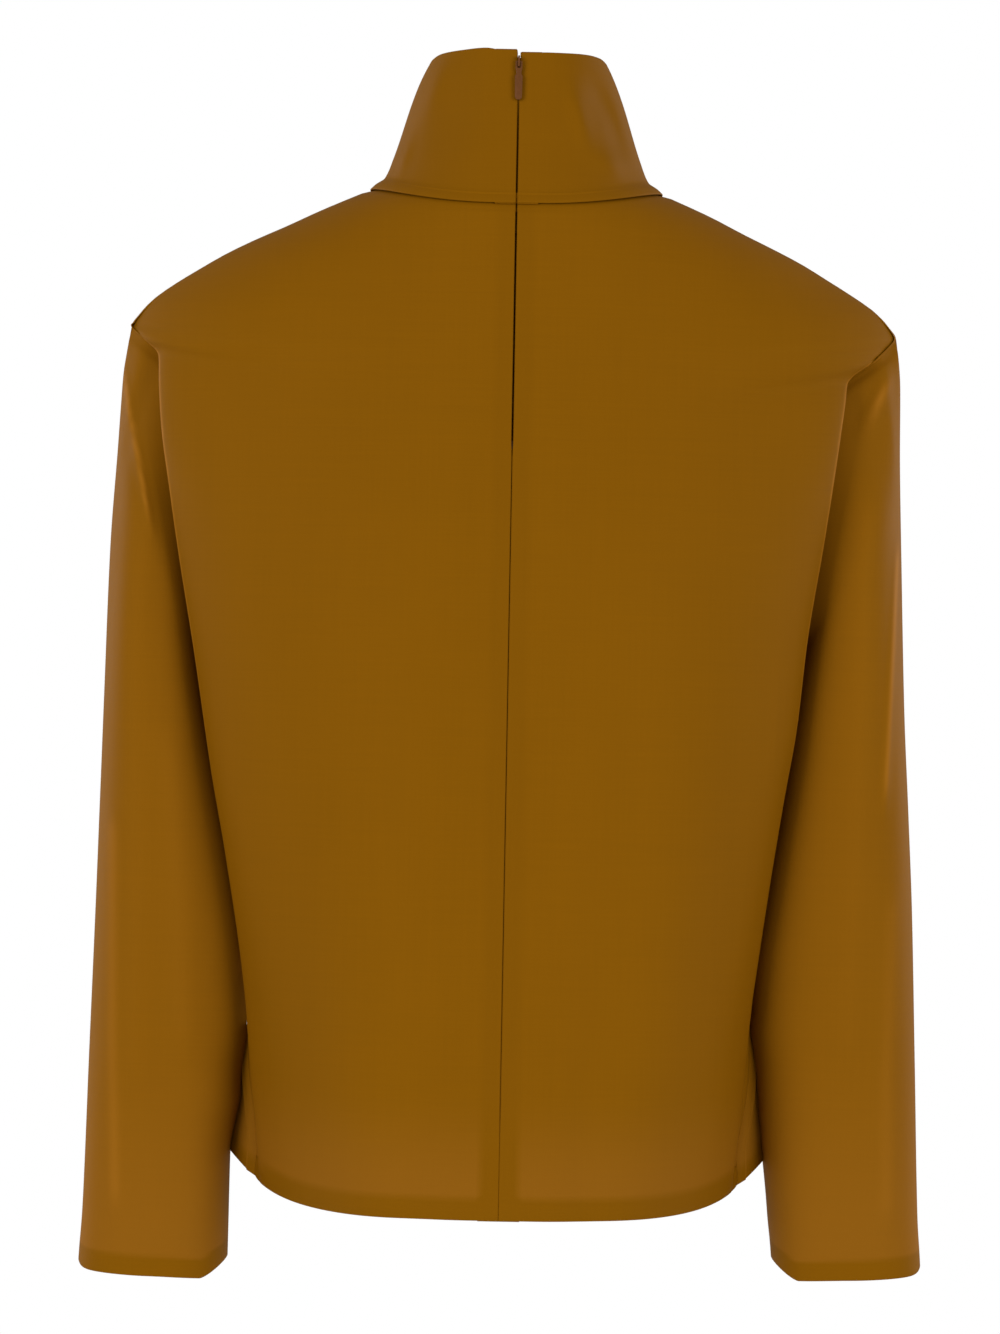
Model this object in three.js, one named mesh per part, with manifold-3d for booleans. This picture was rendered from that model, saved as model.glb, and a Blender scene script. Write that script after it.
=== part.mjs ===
// A funnel-neck blouse with padded shoulders, long hanging sleeves, a curved shirt-tail hem and
// a concealed zip down the centre back.
//
// Millimetres, +Z up. The origin is the middle of the neckline. The back of the blouse faces +Y
// and the wearer's left is +X. The shell is symmetrical about X = 0.

import * as THREE from 'three';
import { mergeVertices } from 'three/addons/utils/BufferGeometryUtils.js';
import Module from 'manifold-3d';

const wasm = await Module();
wasm.setup();

// Cloth and fits
const cloth = 1.2; // every shell layer
const interlining = 0.5; // the stiffener inside the collar
const clearance = 0.3; // between pieces that are sewn or fitted together
const flatHalf = 16; // half-width of the flat stretch down the centre back and front

// Collar, from the neckline up
const rimHeight = 84;
const rimHalf = 57;
const rimBack = 56;
const rimFront = 50;
const standHalf = 82; // half-width at the foot, before the roll
const rollHeight = 7; // height of the rolled foot
const neckHalf = 89;
const neckFront = 64;
const neckSideHeight = 3;
const neckBackDrop = 10;
const neckFrontDrop = 22;

// Body
const shoulderHalf = 237;
const shoulderFall = 88; // neck point down to the shoulder tip
const tipRadius = 18; // rounding of the shoulder tip
const armholeDepth = 190;
const chestHalf = 192;
const chestFront = 118;
const backSwell = 3; // how far the back stands behind the end of the zip's straight line
const waistDrop = 450;
const waistHalf = 168;
const waistBack = 107;
const waistFront = 112;
const hemHalf = 162;
const hemBack = 102;
const hemFront = 106;
const backLength = 624;
const frontLength = 612;
const sideLength = 594;
const foldSet = 38; // how far behind the middle the body is widest, at the chest

// Sleeves
const cuffOuter = 261;
const cuffInner = 167;
const cuffDrop = 673;
const cuffHalfDepth = 40;
const capStand = 3; // how far the sleeve head stands out past the shoulder tip
const elbowDrop = 430;
const elbowOuter = 252;
const elbowInner = 174;
const elbowHalfDepth = 50;
const armholeHalfDepth = 66;
const armpitTurn = 24; // height in which the sleeve turns down from the armhole's foot
const sleeveForward = 24; // the cuffs hang this far in front of the middle
const ventHeight = 40;
const ventGap = 1.6;

// Shoulder pads
const padInner = 124; // where the thin edge starts, from the middle
const padHalfDepth = 56;
const padThin = 2.5;
const padThick = 13;
const padEdge = 3; // how far the thick edge stays inside the shoulder tip

// Zip, in its own frame: Y out of the back, Z up along the zip, from the collar's rim
const zipLean = THREE.MathUtils.degToRad(11);
const zipLength = 250;
const zipSlot = 0.8; // half of the gap that the slider's neck runs in
const seamSlot = 0.15; // half of the gap at a sewn seam
const seamMargin = 20; // straight cloth past the end of the tape
const tapeWidth = 13;
const tapeThickness = 0.5;
const tapeTail = 18; // tape below the last coil
const tapeTop = 2; // tape below the rim
const coilWidth = 1.8;
const coilDepth = 1.8;
const stopLength = 2.4;
const bottomStopLength = 5;
const sliderLength = 9;
const sliderWall = 1.3;
const sliderFloor = 1;
const sliderNeck = 1; // thickness of the post between the coils
const bridgeWidth = 1.2;
const bridgeLength = 6.4;
const bridgeBar = 0.8;
const bridgeLeg = 1.3; // length of each foot of the bridge along the zip
const bridgeLift = 0.4; // of the bridge above the cloth
const bridgeSill = 0.5; // thickness under the bridge's hole
const barPlay = 0.4; // of the pull's crossbar in the bridge's hole
const pullThickness = 0.9;
const pullBar = 1; // height of the crossbar that the bridge traps
const pullEyeWidth = 4.1;
const pullNeckWidth = 3;
const pullTabWidth = 4.7;
const pullTabTaper = 0.9; // width of the tab's round end as a share of its shoulder
const pullNeckLength = 5; // from the window's foot to the tab's shoulder
const pullLength = 24;
const facingEdge = 7; // where the collar's facing stops beside the zip

// Care label, a blank strip in the left side seam
const labelWidth = 24;
const labelLength = 46;
const labelThickness = 0.5;
const labelDrop = 470;

// How finely the curves are drawn
const ringSteps = 16; // steps round half of a body or collar ring
const sleeveSteps = 20; // steps round a sleeve
const rootReach = 50; // of the sleeve's tube into the body, before the body trims it
const slopeSet = 0.6; // share of an inset that also lowers the cloth on the shoulder's slope
const overrun = 30; // of a cutting tube past the ends of the piece that it cuts
const capRings = 8; // rings that turn the sleeve from the armhole to the arm
const armRings = 9; // rings from the armpit to the cuff
const bodyCorners = 0.85; // under 1 fills out the corners of a ring, over 1 draws its sides to a point
const ridgeCorners = 1.25;
const beyond = 400; // reach of a cutting block

const { lerp, smoothstep } = THREE.MathUtils;

// --- Helpers ---

function material(color, roughness, metalness = 0) {
  return new THREE.MeshStandardMaterial({ color, roughness, metalness });
}

// A smooth curve through [position, value] stations, read at one position.
function along(stations, position) {
  const last = stations.length - 1;
  let i = 0;
  while (i < last - 1 && position > stations[i + 1][0]) {
    i += 1;
  }
  const slope = (k) => {
    const before = stations[Math.max(k - 1, 0)];
    const after = stations[Math.min(k + 1, last)];
    return (after[1] - before[1]) / (after[0] - before[0]);
  };
  const [start, from] = stations[i];
  const [end, to] = stations[i + 1];
  const span = end - start;
  const t = THREE.MathUtils.clamp((position - start) / span, 0, 1);
  const rise = t * t * (3 - 2 * t);
  const lift = t * (1 - t) ** 2 * slope(i) * span;
  const settle = t * t * (t - 1) * slope(i + 1) * span;
  return lerp(from, to, rise) + lift + settle;
}

// Count values from one end to the other, without the first.
function spread(from, to, count) {
  return Array.from({ length: count }, (_, i) => lerp(from, to, (i + 1) / count));
}

// A closed solid through rings that run from top to bottom, clockwise as seen from above.
// The two halves of a ring are cut into triangles as mirror images of each other.
function loft(rings) {
  const count = rings[0].length;
  const points = rings.flat();
  const faces = [];
  for (let j = 0; j < rings.length - 1; j += 1) {
    for (let i = 0; i < count; i += 1) {
      const above = j * count;
      const below = above + count;
      const [a, b] = [above + i, above + ((i + 1) % count)];
      const [c, d] = [below + i, below + ((i + 1) % count)];
      if (i < count / 2) {
        faces.push(a, b, c, b, d, c);
      } else {
        faces.push(a, b, d, a, d, c);
      }
    }
  }
  for (const [ring, flip] of [[0, true], [rings.length - 1, false]]) {
    const middle = rings[ring].reduce((sum, p) => sum.add(p), new THREE.Vector3()).divideScalar(count);
    points.push(middle);
    for (let i = 0; i < count; i += 1) {
      const a = ring * count + i;
      const b = ring * count + ((i + 1) % count);
      faces.push(points.length - 1, flip ? b : a, flip ? a : b);
    }
  }
  const geometry = new THREE.BufferGeometry().setFromPoints(points);
  geometry.setIndex(faces);
  return geometry;
}

function block(x0, x1, y0, y1, z0, z1) {
  const geometry = new THREE.BoxGeometry(x1 - x0, y1 - y0, z1 - z0);
  return geometry.translate((x0 + x1) / 2, (y0 + y1) / 2, (z0 + z1) / 2);
}

// A three.js geometry as a solid that can be joined and cut.
function solid(geometry) {
  const bare = geometry.clone();
  bare.deleteAttribute('normal');
  bare.deleteAttribute('uv');
  const merged = mergeVertices(bare);
  return new wasm.Manifold(new wasm.Mesh({
    numProp: 3,
    vertProperties: new Float32Array(merged.attributes.position.array),
    triVerts: new Uint32Array(merged.index.array),
  }));
}

function geometryOf(shape) {
  const { vertProperties, triVerts } = shape.getMesh();
  const geometry = new THREE.BufferGeometry();
  geometry.setAttribute('position', new THREE.BufferAttribute(vertProperties, 3));
  geometry.setIndex(new THREE.BufferAttribute(triVerts, 1));
  geometry.computeVertexNormals();
  return geometry;
}

// The same piece on the other side of the body, with its faces turned to point out again.
function mirrored(geometry) {
  const other = geometry.clone().scale(-1, 1, 1);
  const index = other.index.array;
  for (let i = 0; i < index.length; i += 3) {
    [index[i], index[i + 1]] = [index[i + 1], index[i]];
  }
  other.computeVertexNormals();
  return other;
}

const root = new THREE.Group();

function add(name, geometry, look, parent = root) {
  const mesh = new THREE.Mesh(geometry, look);
  mesh.name = name;
  parent.add(mesh);
}

// --- The shell's surfaces ---

// How far behind the middle the straight line of the zip runs at a height.
const zipLine = (height) => rimBack + Math.tan(zipLean) * (rimHeight - height);
const straightEnd = rimHeight - (zipLength + tapeTail + seamMargin) * Math.cos(zipLean);

const bodyHalf = [
  [0, neckHalf],
  [shoulderFall / 2, lerp(neckHalf, shoulderHalf, 0.61)],
  [shoulderFall - tipRadius, lerp(neckHalf, shoulderHalf, 0.92)],
  [shoulderFall, shoulderHalf],
  [shoulderFall + tipRadius, lerp(shoulderHalf, chestHalf, 0.25)],
  [shoulderFall + armholeDepth / 2, lerp(shoulderHalf, chestHalf, 0.62)],
  [shoulderFall + armholeDepth, chestHalf],
  [waistDrop, waistHalf],
  [sideLength, hemHalf],
];
const bodyBack = [
  [-straightEnd, zipLine(straightEnd)],
  [-straightEnd + 50, zipLine(straightEnd) + backSwell],
  [waistDrop, waistBack],
  [backLength, hemBack],
];
const bodyFront = [
  [neckFrontDrop, neckFront],
  [shoulderFall + armholeDepth / 4, lerp(neckFront, chestFront, 0.75)],
  [shoulderFall + armholeDepth, chestFront],
  [waistDrop, waistFront],
  [frontLength, hemFront],
];
const bodyWidest = [
  [0, 0],
  [shoulderFall, 0],
  [shoulderFall + armholeDepth, foldSet],
  [waistDrop, foldSet * 0.6],
  [sideLength, foldSet * 0.2],
];

const bodyCornering = [
  [0, 1],
  [shoulderFall, ridgeCorners],
  [shoulderFall + armholeDepth / 2, lerp(ridgeCorners, bodyCorners, 0.75)],
  [shoulderFall + armholeDepth, bodyCorners],
  [sideLength, bodyCorners],
];

// One ring round the body: flat at the centre back and front, rounded towards the sides.
// `height` is given the share of the way out to the side, and 1 at the back to -1 at the front.
function ring({ half, back, front, widest, corners }, height) {
  const points = [];
  for (const side of [1, -1]) {
    for (let i = 0; i <= ringSteps; i += 1) {
      const angle = Math.PI * (side > 0 ? i : ringSteps - i) / ringSteps;
      const out = Math.abs(Math.sin(angle)) ** corners;
      const facing = Math.cos(angle);
      const reach = facing > 0 ? back - widest : front + widest;
      const x = side * (flatHalf + (half - flatHalf) * out);
      const y = widest + Math.sign(facing) * reach * Math.abs(facing) ** corners;
      points.push(new THREE.Vector3(x, y, height(out, facing)));
    }
  }
  return points;
}

const neckHeight = (out, facing) => {
  const middle = facing > 0 ? -neckBackDrop : -neckFrontDrop;
  return lerp(middle, neckSideHeight, out * out);
};

// The ring of the body at a drop below the neck point, a distance inside the outer surface.
function bodyRing(drop, inset) {
  const share = drop / sideLength;
  const backHeight = lerp(-neckBackDrop, -backLength, share);
  const frontHeight = lerp(-neckFrontDrop, -frontLength, share);
  const back = backHeight > straightEnd ? zipLine(backHeight) : along(bodyBack, -backHeight);
  const sizes = {
    half: along(bodyHalf, drop) - inset,
    back: back - inset,
    front: along(bodyFront, -frontHeight) - inset,
    widest: along(bodyWidest, drop),
    corners: along(bodyCornering, drop),
  };
  // Cloth on the slope of the shoulder is set down as well as in.
  const settle = slopeSet * inset * (1 - smoothstep(drop, shoulderFall, shoulderFall + 3 * tipRadius));
  return ring(sizes, (out, facing) => {
    const hemMiddle = facing > 0 ? -backLength : -frontLength;
    const hem = lerp(hemMiddle, neckSideHeight - sideLength, out ** 7);
    return lerp(neckHeight(out, facing), hem, share) - settle * out;
  });
}

const bodyDrops = [
  0,
  ...spread(0, shoulderFall - tipRadius, 5),
  ...spread(shoulderFall - tipRadius, shoulderFall + tipRadius, 6),
  ...spread(shoulderFall + tipRadius, shoulderFall + armholeDepth, 6),
  ...spread(shoulderFall + armholeDepth, sideLength, 8),
];

function shifted(points, rise) {
  return points.map((p) => new THREE.Vector3(p.x, p.y, p.z + rise));
}

// The space inside the body at an inset, run past the neckline and the hem when it is to cut.
function bodySpace(inset, cuts = false) {
  const rings = bodyDrops.map((drop) => bodyRing(drop, inset));
  if (cuts) {
    rings.unshift(shifted(rings[0], overrun));
    rings.push(shifted(rings.at(-1), -overrun));
  }
  return loft(rings);
}

// A ring of the collar at a share of its height.
function collarRing(share, inset) {
  const rolled = neckSideHeight + rollHeight;
  const stand = (height) => lerp(standHalf, rimHalf, (height - rolled) / (rimHeight - rolled));
  const sideHeight = lerp(neckSideHeight, rimHeight, share);
  const backHeight = lerp(-neckBackDrop, rimHeight, share);
  const roll = (1 - smoothstep(sideHeight, neckSideHeight, rolled)) * (neckHalf - standHalf);
  const sizes = {
    half: stand(Math.max(sideHeight, rolled)) + roll - inset,
    back: zipLine(backHeight) - inset,
    front: lerp(neckFront, rimFront, share) - inset,
    widest: 0,
    corners: 1,
  };
  return ring(sizes, (out, facing) => (
    lerp(neckHeight(out, facing) + clearance, rimHeight, share)
  ));
}

const collarShares = [1, 0.5, 0.25, rollHeight / (rimHeight - neckSideHeight), 0];

// A layer of the collar between two insets, open at the zip.
function collarLayer(outer, thickness, gap) {
  const outside = loft(collarShares.map((share) => collarRing(share, outer)));
  const within = collarShares.map((share) => collarRing(share, outer + thickness));
  within.unshift(shifted(within[0], overrun));
  within.push(shifted(within.at(-1), -overrun));
  const opening = block(-gap, gap, 0, beyond, -beyond, beyond);
  return geometryOf(solid(outside).subtract(solid(loft(within))).subtract(solid(opening)));
}

// --- Sleeves ---

// The outer and inner edge of the left sleeve, as [x, z], from the armhole to the cuff.
const armholeTop = -shoulderFall + neckSideHeight;
const armholeFoot = armholeTop - armholeDepth;
const armpit = armholeFoot - armpitTurn;
const sleeveOuter = [
  [-armholeTop, shoulderHalf],
  [-armholeTop + 18, shoulderHalf + capStand],
  [-armpit, lerp(shoulderHalf + capStand, elbowOuter, 0.6)],
  [elbowDrop, elbowOuter],
  [cuffDrop, cuffOuter],
];
const sleeveInner = [
  [-armholeFoot, chestHalf - 7],
  [-armpit, chestHalf - 2],
  [-armpit + 60, lerp(chestHalf, elbowInner, 0.68)],
  [elbowDrop, elbowInner],
  [cuffDrop, cuffInner],
];
const sleeveDepth = [
  [-armholeTop, armholeHalfDepth],
  [elbowDrop, elbowHalfDepth],
  [cuffDrop, cuffHalfDepth],
];

// The ring between two heights on the sleeve's outer and inner edges.
function sleeveRing(outerHeight, innerHeight, inset) {
  const outer = new THREE.Vector2(along(sleeveOuter, -outerHeight), outerHeight);
  const inner = new THREE.Vector2(along(sleeveInner, -innerHeight), innerHeight);
  return tiltedRing(outer, inner, (outerHeight + innerHeight) / 2, inset);
}

// A ring between an outer and an inner point of the sleeve, set in its own slanted plane.
function tiltedRing(outer, inner, height, inset) {
  const middle = outer.clone().add(inner).multiplyScalar(0.5);
  const half = outer.clone().sub(middle);
  const length = half.length();
  const depth = along(sleeveDepth, -height) - inset;
  const forward = sleeveForward * smoothstep(-height, -armholeTop, elbowDrop);
  return Array.from({ length: sleeveSteps }, (_, i) => {
    const angle = (2 * Math.PI * i) / sleeveSteps;
    const reach = (Math.cos(angle) * (length - inset)) / length;
    const x = middle.x + half.x * reach;
    const z = middle.y + half.y * reach;
    return new THREE.Vector3(x, -forward - depth * Math.sin(angle), z);
  });
}

// The left sleeve's tube at an inset. It starts inside the body, where the body trims it.
function sleeveTube(inset, cuts = false) {
  const top = new THREE.Vector2(along(sleeveOuter, -armholeTop), armholeTop);
  const foot = new THREE.Vector2(along(sleeveInner, -armholeFoot), armholeFoot);
  const upward = top.clone().sub(foot).normalize();
  const push = new THREE.Vector2(-upward.y, upward.x).multiplyScalar(rootReach);
  const middle = (armholeTop + armholeFoot) / 2;
  const rings = [tiltedRing(top.clone().add(push), foot.clone().add(push), middle, inset)];
  for (let i = 0; i <= capRings; i += 1) {
    const share = i / capRings;
    rings.push(sleeveRing(lerp(armholeTop, armpit, share), lerp(armholeFoot, armpit, share), inset));
  }
  for (const height of spread(armpit, -cuffDrop, armRings)) {
    rings.push(sleeveRing(height, height, inset));
  }
  if (cuts) {
    rings.push(shifted(rings.at(-1), -overrun));
  }
  return loft(rings);
}

const sleeveBore = sleeveTube(cloth, true);

function sleeve() {
  const vent = block(
    cuffInner - 10,
    cuffInner + 10,
    -sleeveForward - ventGap / 2,
    -sleeveForward + ventGap / 2,
    -cuffDrop - 10,
    -cuffDrop + ventHeight,
  );
  const tube = solid(sleeveTube(0)).subtract(solid(sleeveBore));
  const trimmed = tube.subtract(solid(bodySpace(-clearance))).subtract(solid(vent));
  return geometryOf(trimmed);
}

// --- Body panels ---

const fabric = material(0x85540a, 0.85);
const lining = material(0x7a4d0c, 0.9);
const wadding = material(0xcfc4b0, 0.95);

const shell = solid(bodySpace(0))
  .subtract(solid(bodySpace(cloth, true)))
  .subtract(solid(sleeveBore))
  .subtract(solid(mirrored(sleeveBore)));

const zipEnd = rimHeight - zipLength * Math.cos(zipLean);

function backPanel() {
  const half = solid(block(seamSlot, beyond, seamSlot, beyond, -2 * beyond, beyond));
  const slot = solid(block(-zipSlot, zipSlot, 0, beyond, zipEnd, beyond));
  return geometryOf(shell.intersect(half).subtract(slot));
}

function frontPanel() {
  const half = solid(block(-beyond, beyond, -beyond, -seamSlot, -2 * beyond, beyond));
  return geometryOf(shell.intersect(half));
}

function bodyPanels() {
  const left = backPanel();
  add('front_panel', frontPanel(), fabric);
  add('back_panel_left', left, fabric);
  add('back_panel_right', mirrored(left), fabric);
}

function sleeves() {
  const left = sleeve();
  add('sleeve_left', left, fabric);
  add('sleeve_right', mirrored(left), fabric);
}

function collar() {
  const stiffener = cloth + clearance;
  const facing = stiffener + interlining + clearance;
  const beside = zipSlot + tapeWidth + clearance;
  add('collar_outer', collarLayer(0, cloth, zipSlot), fabric);
  add('collar_interlining', collarLayer(stiffener, interlining, beside), wadding);
  add('collar_facing', collarLayer(facing, cloth, facingEdge), fabric);
}

// --- Shoulder pads: a half-moon wedge, thick at the shoulder tip and thin towards the neck ---

function shoulderPad() {
  const edge = shoulderHalf - padEdge;
  const outline = new THREE.Shape();
  outline.moveTo(edge, -padHalfDepth);
  outline.lineTo(edge, padHalfDepth);
  outline.absellipse(edge, 0, edge - padInner, padHalfDepth, Math.PI / 2, 1.5 * Math.PI, false);
  const foot = -shoulderFall - padThick;
  const options = { depth: -foot, bevelEnabled: false, curveSegments: 12 };
  const column = new THREE.ExtrudeGeometry(outline, options).translate(0, 0, foot);
  const top = bodySpace(cloth + clearance);
  const taper = (padThick - padThin) / (edge - padInner);
  const lowered = new THREE.Matrix4().makeShear(0, -taper, 0, 0, 0, 0);
  const under = top.clone().applyMatrix4(lowered).translate(0, 0, taper * padInner - padThin);
  return geometryOf(solid(top).intersect(solid(column)).subtract(solid(under)));
}

function shoulderPads() {
  const left = shoulderPad();
  add('shoulder_pad_left', left, wadding);
  add('shoulder_pad_right', mirrored(left), wadding);
}

function careLabel() {
  const outside = bodySpace(cloth + clearance);
  const inside = bodySpace(cloth + clearance + labelThickness);
  const place = block(0, beyond, -labelWidth / 2, labelWidth / 2, -labelDrop - labelLength, -labelDrop);
  const strip = solid(outside).subtract(solid(inside)).intersect(solid(place));
  add('care_label', geometryOf(strip), material(0xe9e4d8, 0.7));
}

// --- The zip ---

const zip = new THREE.Group();
zip.position.set(0, rimBack, rimHeight);
zip.rotation.x = zipLean;
root.add(zip);

const tapeFace = -cloth - clearance; // the side of the tape against the cloth
const coilFace = tapeFace - tapeThickness - clearance;
const coilBack = coilFace - coilDepth;
const stopTop = -tapeTop;
const coilTop = stopTop - stopLength - clearance;
const coilFoot = -zipLength + bottomStopLength + clearance;
const sliderTop = coilTop;
const sliderMiddle = sliderTop - sliderLength / 2;

function zipTapes() {
  const strip = block(
    zipSlot, zipSlot + tapeWidth, tapeFace - tapeThickness, tapeFace, -zipLength - tapeTail, stopTop,
  );
  add('zipper_tape_left', strip, lining, zip);
  add('zipper_tape_right', mirrored(strip), lining, zip);
}

// Each coil is a rod with its corners taken off, along the edge of its tape.
function zipCoils() {
  const corner = coilWidth * 0.25;
  const section = new THREE.Shape();
  section.moveTo(zipSlot + corner, coilBack);
  section.lineTo(zipSlot + coilWidth - corner, coilBack);
  section.lineTo(zipSlot + coilWidth, coilBack + corner);
  section.lineTo(zipSlot + coilWidth, coilFace - corner);
  section.lineTo(zipSlot + coilWidth - corner, coilFace);
  section.lineTo(zipSlot + corner, coilFace);
  section.lineTo(zipSlot, coilFace - corner);
  section.lineTo(zipSlot, coilBack + corner);
  const options = { depth: coilTop - coilFoot, bevelEnabled: false };
  const rod = new THREE.ExtrudeGeometry(section, options).translate(0, 0, coilFoot);
  const left = mergeVertices(rod);
  const look = material(0x6a4512, 0.55);
  add('zipper_coil_left', left, look, zip);
  add('zipper_coil_right', mirrored(left), look, zip);
}

const metal = material(0x6e4218, 0.4, 0.6);

function zipStops() {
  const top = block(
    zipSlot, zipSlot + coilWidth, coilBack, coilFace, stopTop - stopLength, stopTop,
  );
  add('zipper_top_stop_left', top, metal, zip);
  add('zipper_top_stop_right', mirrored(top), metal, zip);
  const reach = zipSlot + coilWidth + sliderNeck;
  const bottom = block(
    -reach, reach, coilBack, coilFace, -zipLength, -zipLength + bottomStopLength,
  );
  add('zipper_bottom_stop', bottom, metal, zip);
}

// The crossbar turns in the middle of the bridge's hole, which clears its corners.
const holeFoot = bridgeLift + bridgeSill;
const holeHeight = Math.hypot(pullThickness, pullBar) + barPlay;
const pullAxis = holeFoot + holeHeight / 2;

// The slider is a channel round both coils, with a neck out through the slot to a bridge.
function zipSlider() {
  const wallInside = zipSlot + coilWidth + clearance;
  const wallOutside = wallInside + sliderWall;
  const floorTop = coilBack - clearance;
  const post = sliderNeck / 2;
  const section = new THREE.Shape();
  section.moveTo(-wallOutside, floorTop - sliderFloor);
  section.lineTo(wallOutside, floorTop - sliderFloor);
  section.lineTo(wallOutside, coilFace);
  section.lineTo(wallInside, coilFace);
  section.lineTo(wallInside, floorTop);
  section.lineTo(post, floorTop);
  section.lineTo(post, bridgeLift + bridgeSill / 2);
  section.lineTo(-post, bridgeLift + bridgeSill / 2);
  section.lineTo(-post, floorTop);
  section.lineTo(-wallInside, floorTop);
  section.lineTo(-wallInside, coilFace);
  section.lineTo(-wallOutside, coilFace);
  const channel = new THREE.ExtrudeGeometry(section, { depth: sliderLength, bevelEnabled: false });
  channel.translate(0, 0, sliderTop - sliderLength);

  const half = bridgeLength / 2;
  const crown = holeFoot + holeHeight + bridgeBar;
  const side = new THREE.Shape();
  side.moveTo(-half, bridgeLift);
  side.lineTo(half, bridgeLift);
  side.lineTo(half, crown - bridgeBar);
  side.absarc(half - bridgeBar, crown - bridgeBar, bridgeBar, 0, Math.PI / 2, false);
  side.lineTo(-half + bridgeBar, crown);
  side.absarc(bridgeBar - half, crown - bridgeBar, bridgeBar, Math.PI / 2, Math.PI, false);
  const hole = new THREE.Path();
  hole.moveTo(-half + bridgeLeg, holeFoot);
  hole.lineTo(-half + bridgeLeg, holeFoot + holeHeight);
  hole.lineTo(half - bridgeLeg, holeFoot + holeHeight);
  hole.lineTo(half - bridgeLeg, holeFoot);
  side.holes.push(hole);
  const options = { depth: bridgeWidth, bevelEnabled: false, curveSegments: 4 };
  const bridge = new THREE.ExtrudeGeometry(side, options);
  bridge.translate(0, 0, -bridgeWidth / 2).rotateY(-Math.PI / 2).translate(0, 0, sliderMiddle);
  add('zipper_slider', geometryOf(solid(channel).add(solid(bridge))), metal, zip);
}

// The pull hangs from the bridge by a crossbar, with a window that clears the bridge's leg.
function zipPull() {
  const eye = pullEyeWidth / 2;
  const neck = pullNeckWidth / 2;
  const tab = pullTabWidth / 2;
  const tip = tab * pullTabTaper;
  // The window clears the bridge's far corner as the pull turns round the crossbar.
  const corner = Math.hypot(bridgeLength / 2, holeHeight / 2 + bridgeBar);
  const windowFoot = -corner - clearance;
  const windowHalf = bridgeWidth / 2 + clearance;
  const neckMiddle = windowFoot - pullNeckLength * 0.6;
  const tabTop = windowFoot - pullNeckLength;
  const eyeFoot = windowFoot - clearance * 2;
  const outline = new THREE.Shape();
  outline.moveTo(-eye, pullBar / 2);
  outline.lineTo(-eye, eyeFoot);
  outline.quadraticCurveTo(-neck, lerp(neckMiddle, eyeFoot, 0.4), -neck, neckMiddle);
  outline.quadraticCurveTo(-neck, lerp(tabTop, neckMiddle, 0.3), -tab, tabTop);
  outline.absarc(0, tip - pullLength, tip, Math.PI, 2 * Math.PI, false);
  outline.lineTo(tab, tabTop);
  outline.quadraticCurveTo(neck, lerp(tabTop, neckMiddle, 0.3), neck, neckMiddle);
  outline.quadraticCurveTo(neck, lerp(neckMiddle, eyeFoot, 0.4), eye, eyeFoot);
  outline.lineTo(eye, pullBar / 2);
  const opening = new THREE.Path();
  opening.moveTo(-windowHalf, -pullBar / 2);
  opening.lineTo(windowHalf, -pullBar / 2);
  opening.lineTo(windowHalf, windowFoot);
  opening.lineTo(-windowHalf, windowFoot);
  outline.holes.push(opening);
  const options = { depth: pullThickness, bevelEnabled: false, curveSegments: 6 };
  const plate = new THREE.ExtrudeGeometry(outline, options);
  plate.translate(0, 0, -pullThickness / 2).rotateX(Math.PI / 2);
  plate.translate(0, pullAxis, sliderMiddle);
  add('zipper_pull', plate, metal, zip);
}

bodyPanels();
sleeves();
collar();
shoulderPads();
careLabel();
zipTapes();
zipCoils();
zipStops();
zipSlider();
zipPull();

export default root;
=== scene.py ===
"""A funnel-neck blouse seen from behind: cloth panels, collar, sleeves, shoulder pads and zip.

Shapes are worked out in millimetres and turned into metres when a mesh is made. The back of the
blouse faces +Y and the wearer's left is +X, as in the frame.
"""

import math

import bpy
import numpy as np
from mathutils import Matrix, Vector
from mathutils.bvhtree import BVHTree


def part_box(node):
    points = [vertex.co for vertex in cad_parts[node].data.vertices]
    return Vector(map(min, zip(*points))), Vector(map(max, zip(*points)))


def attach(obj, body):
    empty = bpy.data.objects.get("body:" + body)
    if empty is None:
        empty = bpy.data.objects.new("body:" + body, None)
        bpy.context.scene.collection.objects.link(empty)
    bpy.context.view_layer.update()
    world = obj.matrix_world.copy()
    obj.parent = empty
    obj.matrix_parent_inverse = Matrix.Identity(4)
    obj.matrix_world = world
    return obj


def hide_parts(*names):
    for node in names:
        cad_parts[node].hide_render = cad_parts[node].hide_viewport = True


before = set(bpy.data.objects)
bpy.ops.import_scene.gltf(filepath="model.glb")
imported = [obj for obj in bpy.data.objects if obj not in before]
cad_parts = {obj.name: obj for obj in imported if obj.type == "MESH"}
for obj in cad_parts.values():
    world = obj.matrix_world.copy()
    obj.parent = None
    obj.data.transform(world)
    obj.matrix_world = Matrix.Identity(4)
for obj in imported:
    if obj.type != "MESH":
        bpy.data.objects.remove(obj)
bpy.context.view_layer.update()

bl_info = {
    "name": "Funnel-Neck Blouse",
    "version": (1, 0, 0),
    "blender": (4, 5, 0),
    "location": "View3D > Sidebar > Blouse",
    "description": "Builds a blouse with padded shoulders and a centre-back zip",
    "category": "Add Mesh",
}

MM = 0.001
GARMENT, SLIDER, PULL = "garment", "slider", "pull"
LEFT, RIGHT = 1, -1
SIDE_NAME = {LEFT: "left", RIGHT: "right"}


# --- Settings ---


def length(name, description, default):
    return bpy.props.FloatProperty(
        name=name, description=description, default=default, unit="LENGTH")


def amount(name, description, default, subtype):
    return bpy.props.FloatProperty(
        name=name, description=description, default=default, subtype=subtype)


def tint(name, description, default):
    return bpy.props.FloatVectorProperty(
        name=name, description=description, default=default, subtype="COLOR", min=0, max=1)


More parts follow.
